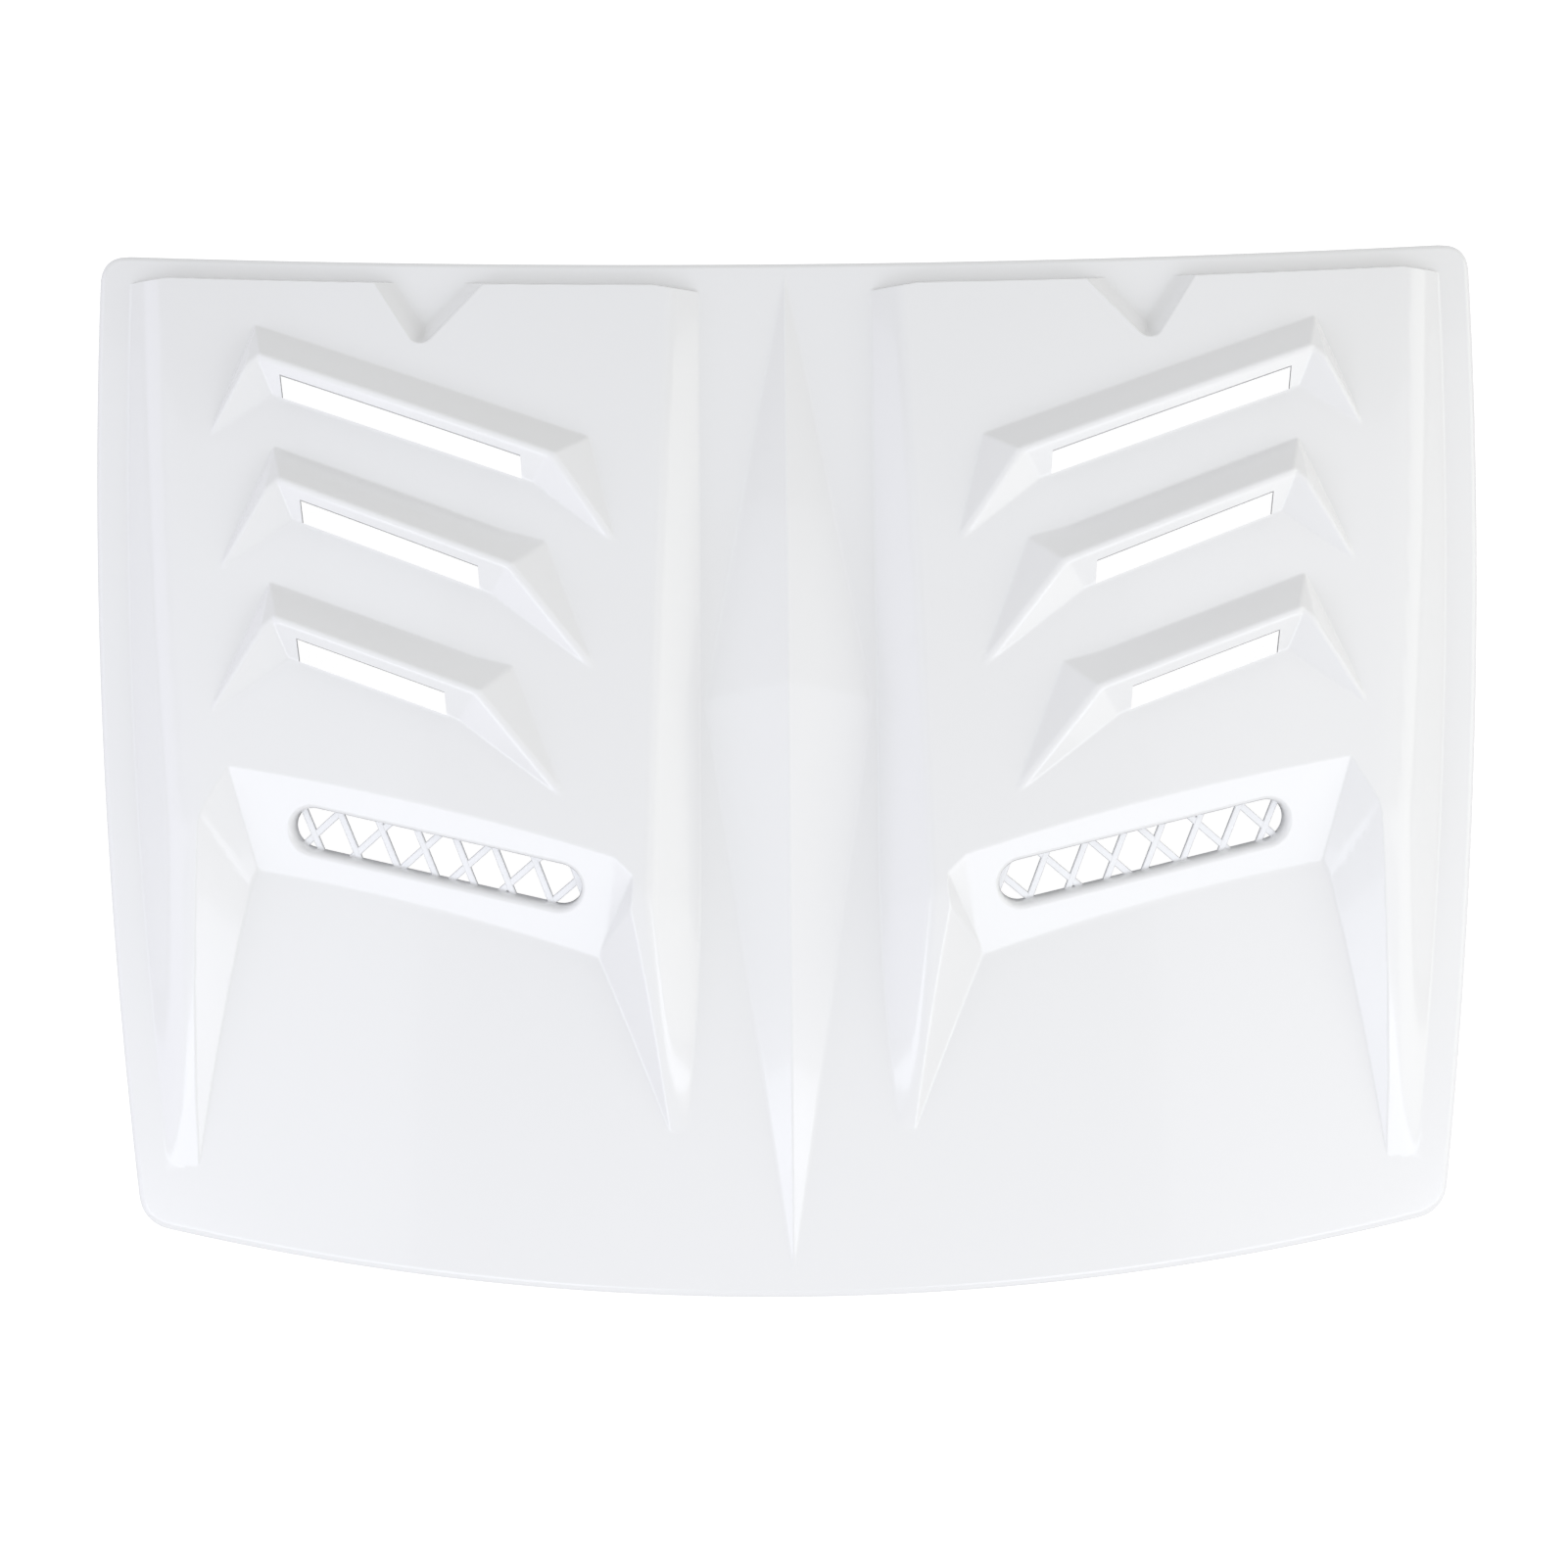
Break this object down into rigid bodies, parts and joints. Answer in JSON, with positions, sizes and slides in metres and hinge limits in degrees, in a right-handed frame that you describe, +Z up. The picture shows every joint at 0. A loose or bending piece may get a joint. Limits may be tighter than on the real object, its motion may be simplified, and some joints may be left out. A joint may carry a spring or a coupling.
{
  "type": "car bonnet vent panel",
  "caption": "Thin crowned moulded bonnet panel with two raised pods, hooded louvres, forward scoop mouths with latticed slots and a diamond centre spine.",
  "frame": {"origin": "under the middle of the panel, level with its four lowest corners", "axes": "+X across the car, +Y toward the windscreen, +Z up and out of the bonnet"},
  "size_m": [1.1486, 0.8576, 0.1044],
  "materials": {
    "skin": "gloss white moulded plastic",
    "lattice": "gloss white moulded plastic"
  },
  "bodies": {
    "root": {"panel": "skin", "left_grille": "lattice", "right_grille": "lattice"}
  },
  "joints": []
}
